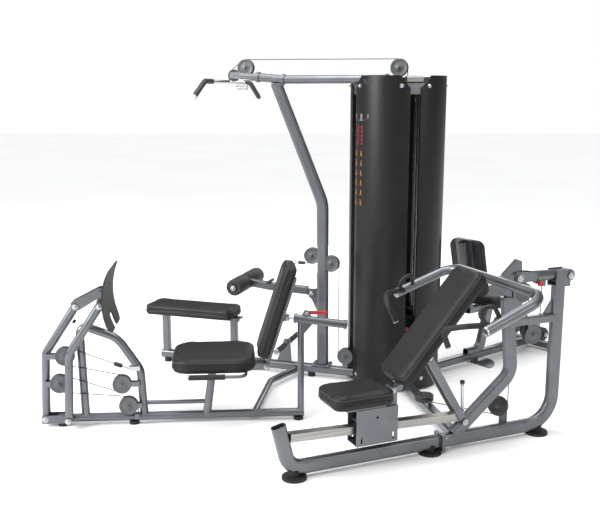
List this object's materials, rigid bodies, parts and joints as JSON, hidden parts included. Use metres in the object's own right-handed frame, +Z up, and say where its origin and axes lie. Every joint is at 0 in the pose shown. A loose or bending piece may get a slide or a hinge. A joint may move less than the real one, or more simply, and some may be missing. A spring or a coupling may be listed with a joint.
{
  "type": "multi station home gym",
  "caption": "Standing weight-stack gym with a curved central tower, pulldown and row bench, leg press, adjustable multi-press and leg extension.",
  "frame": {"origin": "centre of the tower's base plate on the floor", "axes": "+Z up, +X to the right of a viewer facing the press stations, +Y away from that viewer"},
  "size_m": [3.5705, 2.7045, 2.1995],
  "materials": {
    "frame_paint": "satin metallic",
    "shroud_paint": "satin",
    "plate_paint": "satin",
    "stainless": "brushed",
    "chrome": "polished",
    "upholstery": "grained",
    "foam": "matt",
    "pulley_plastic": "matt",
    "cable_jacket": "gloss",
    "red_plastic": "gloss"
  },
  "bodies": {
    "frame": {"tower_frame": "frame_paint", "shroud_front_left": "shroud_paint", "shroud_front_right": "shroud_paint", "shroud_rear_right": "shroud_paint", "shroud_rear_left": "shroud_paint", "resting_plates": "plate_paint", "guide_rods": "chrome", "lat_base": "frame_paint", "lat_upright": "frame_paint", "lat_boom": "frame_paint", "lat_cable": "cable_jacket", "row_cable": "cable_jacket", "row_handle": "chrome", "bench_pad": "upholstery", "leg_base": "frame_paint", "leg_arch": "frame_paint", "leg_cable": "cable_jacket", "leg_seat_pad": "upholstery", "press_base": "frame_paint", "press_mast": "frame_paint", "press_rail": "stainless", "press_cable": "cable_jacket", "extension_frame": "frame_paint", "extension_pads": "upholstery", "frame_pulleys": "pulley_plastic", "rubber_parts": "foam", "frame_bolts": "chrome"},
    "hold_down": {"hold_down_arm": "frame_paint"},
    "hold_down_roller": {"hold_down_rollers": "foam"},
    "pulldown_bar": {"lat_bar": "chrome"},
    "tower_pulley": {"lat_tower_pulley": "pulley_plastic"},
    "front_pulley": {"lat_front_pulley": "pulley_plastic"},
    "row_pulley": {"row_pulley_high": "pulley_plastic"},
    "leg_outer": {"leg_outer_link": "frame_paint", "leg_link_pulleys": "pulley_plastic"},
    "leg_inner": {"leg_inner_link": "frame_paint"},
    "leg_carrier": {"foot_carrier": "frame_paint", "footplate": "shroud_paint"},
    "leg_lever": {"red_lever": "red_plastic"},
    "leg_rest": {"leg_back_frame": "frame_paint", "leg_back_pad": "upholstery"},
    "leg_adjuster": {"adjuster_rod": "chrome"},
    "carriage": {"press_carriage": "frame_paint", "press_seat_pad": "upholstery"},
    "press_rest": {"press_back_frame": "frame_paint", "press_back_pad": "upholstery"},
    "press_link": {"press_back_links": "frame_paint"},
    "press_drive_lever": {"press_lever": "frame_paint"},
    "press_arms": {"press_yoke": "frame_paint", "press_handles": "foam"},
    "extension_swing_arm": {"extension_arm": "frame_paint"},
    "extension_roller": {"extension_rollers": "foam"},
    "lat_stack": {"lat_lifted_plates": "plate_paint"},
    "lat_pin": {"lat_selector_pin": "red_plastic"},
    "press_stack": {"press_lifted_plates": "plate_paint"},
    "press_pin": {"press_selector_pin": "red_plastic"},
    "extension_stack": {"extension_lifted_plates": "plate_paint"},
    "extension_pin": {"extension_selector_pin": "red_plastic"},
    "leg_stack": {"leg_lifted_plates": "plate_paint"},
    "leg_pin": {"leg_selector_pin": "red_plastic"}
  },
  "joints": [
    {"name": "lat_bar_pull", "type": "slide", "parent": "frame", "child": "pulldown_bar", "axis": [0, 0, -1], "range_m": [0, 0.65], "deforming": ["lat_cable"]},
    {"name": "lat_stack_lift", "type": "slide", "parent": "frame", "child": "lat_stack", "axis": [0, 0, 1], "range_m": [0, 0.65]},
    {"name": "tower_pulley_spin", "type": "hinge", "parent": "frame", "child": "tower_pulley", "pos_m": [-0.01132, -0.14215, 2.133], "axis": [-0.309, -0.9511, 0], "continuous": true},
    {"name": "front_pulley_spin", "type": "hinge", "parent": "frame", "child": "front_pulley", "pos_m": [-1.01659, 0.18448, 2.142], "axis": [-0.309, -0.9511, 0], "continuous": true},
    {"name": "lat_pin_pull", "type": "slide", "parent": "lat_stack", "child": "lat_pin", "axis": [0.2588, -0.9659, 0], "range_m": [0, 0.07]},
    {"name": "press_pin_pull", "type": "slide", "parent": "press_stack", "child": "press_pin", "axis": [0.9659, 0.2588, 0], "range_m": [0, 0.07]},
    {"name": "extension_pin_pull", "type": "slide", "parent": "extension_stack", "child": "extension_pin", "axis": [-0.2588, 0.9659, 0], "range_m": [0, 0.07]},
    {"name": "leg_pin_pull", "type": "slide", "parent": "leg_stack", "child": "leg_pin", "axis": [-0.9659, -0.2588, 0], "range_m": [0, 0.07]},
    {"name": "hold_down_tilt", "type": "hinge", "parent": "frame", "child": "hold_down", "pos_m": [-0.56674, 0.03831, 0.605], "axis": [0.309, 0.9511, 0], "range_deg": [-10, 15]},
    {"name": "hold_down_roll", "type": "hinge", "parent": "hold_down", "child": "hold_down_roller", "pos_m": [-1.03751, 0.19128, 0.655], "axis": [-0.309, -0.9511, 0], "continuous": true},
    {"name": "row_pulley_spin", "type": "hinge", "parent": "frame", "child": "row_pulley", "pos_m": [-0.56389, 0.03739, 0.871], "axis": [-0.309, -0.9511, 0], "continuous": true},
    {"name": "leg_press_drive", "type": "hinge", "parent": "frame", "child": "leg_outer", "pos_m": [-2.18029, -0.88631, 0.047], "axis": [0.0698, -0.9976, 0], "range_deg": [0, 35], "deforming": ["leg_cable"]},
    {"name": "leg_inner_swing", "type": "hinge", "parent": "frame", "child": "leg_inner", "pos_m": [-2.03065, -0.87584, 0.061], "axis": [0.0698, -0.9976, 0], "range_deg": [0, 35]},
    {"name": "leg_carrier_level", "type": "hinge", "parent": "leg_outer", "child": "leg_carrier", "pos_m": [-1.9698, -0.87159, 0.745], "axis": [0.0698, -0.9976, 0], "range_deg": [-35, 0]},
    {"name": "leg_stack_lift", "type": "slide", "parent": "frame", "child": "leg_stack", "axis": [0, 0, 1], "range_m": [0, 0.5]},
    {"name": "leg_lever_lift", "type": "hinge", "parent": "frame", "child": "leg_lever", "pos_m": [-0.61012, -0.77651, 0.675], "axis": [0.0698, -0.9976, 0], "range_deg": [0, 60]},
    {"name": "leg_rest_recline", "type": "hinge", "parent": "frame", "child": "leg_rest", "pos_m": [-0.85452, -0.7936, 0.35], "axis": [-0.0698, 0.9976, 0], "range_deg": [-3, 4]},
    {"name": "leg_adjuster_slide", "type": "slide", "parent": "frame", "child": "leg_adjuster", "axis": [0.9866, 0.069, -0.1478], "range_m": [-0.03, 0.03]},
    {"name": "press_drive", "type": "hinge", "parent": "frame", "child": "press_drive_lever", "pos_m": [0.88472, -0.94144, 0.948], "axis": [-0.3907, 0.9205, 0], "range_deg": [0, 35], "deforming": ["press_cable"]},
    {"name": "press_stack_lift", "type": "slide", "parent": "frame", "child": "press_stack", "axis": [0, 0, 1], "range_m": [0, 0.35]},
    {"name": "press_arms_adjust", "type": "hinge", "parent": "press_drive_lever", "child": "press_arms", "pos_m": [0.56255, -1.0782, 0.96], "axis": [-0.3907, 0.9205, 0], "range_deg": [-15, 25]},
    {"name": "press_carriage_slide", "type": "slide", "parent": "frame", "child": "carriage", "axis": [0.9198, 0.3904, -0.0401], "range_m": [-0.06, 0.06]},
    {"name": "press_rest_tilt", "type": "hinge", "parent": "carriage", "child": "press_rest", "pos_m": [-0.16649, -1.38765, 0.415], "axis": [0.3907, -0.9205, 0], "range_deg": [-7.2, 7.2]},
    {"name": "press_link_swing", "type": "hinge", "parent": "frame", "child": "press_link", "pos_m": [0.25694, -1.20792, 0.165], "axis": [0.3907, -0.9205, 0], "range_deg": [-6, 6]},
    {"name": "extension_drive", "type": "hinge", "parent": "frame", "child": "extension_swing_arm", "pos_m": [1.02715, 0.64117, 0.47], "axis": [0.6157, -0.788, 0], "range_deg": [0, 100]},
    {"name": "extension_stack_lift", "type": "slide", "parent": "frame", "child": "extension_stack", "axis": [0, 0, 1], "range_m": [0, 0.5]},
    {"name": "extension_roll", "type": "hinge", "parent": "extension_swing_arm", "child": "extension_roller", "pos_m": [1.07207, 0.67627, 0.172], "axis": [-0.6157, 0.788, 0], "continuous": true}
  ],
  "couplings": [
    {"joint": "lat_stack_lift", "follows": "lat_bar_pull", "ratio": 1},
    {"joint": "tower_pulley_spin", "follows": "lat_bar_pull", "rad_per_m": 18.18},
    {"joint": "front_pulley_spin", "follows": "lat_bar_pull", "rad_per_m": 18.18},
    {"joint": "leg_inner_swing", "follows": "leg_press_drive", "ratio": 1},
    {"joint": "leg_carrier_level", "follows": "leg_press_drive", "ratio": -1},
    {"joint": "leg_stack_lift", "follows": "leg_press_drive", "m_per_rad": 0.7},
    {"joint": "leg_adjuster_slide", "follows": "leg_rest_recline", "m_per_rad": 0.315},
    {"joint": "press_stack_lift", "follows": "press_drive", "m_per_rad": 0.4},
    {"joint": "press_rest_tilt", "follows": "press_carriage_slide", "rad_per_m": 2.08},
    {"joint": "press_link_swing", "follows": "press_carriage_slide", "rad_per_m": -1.68},
    {"joint": "extension_stack_lift", "follows": "extension_drive", "m_per_rad": 0.25}
  ]
}
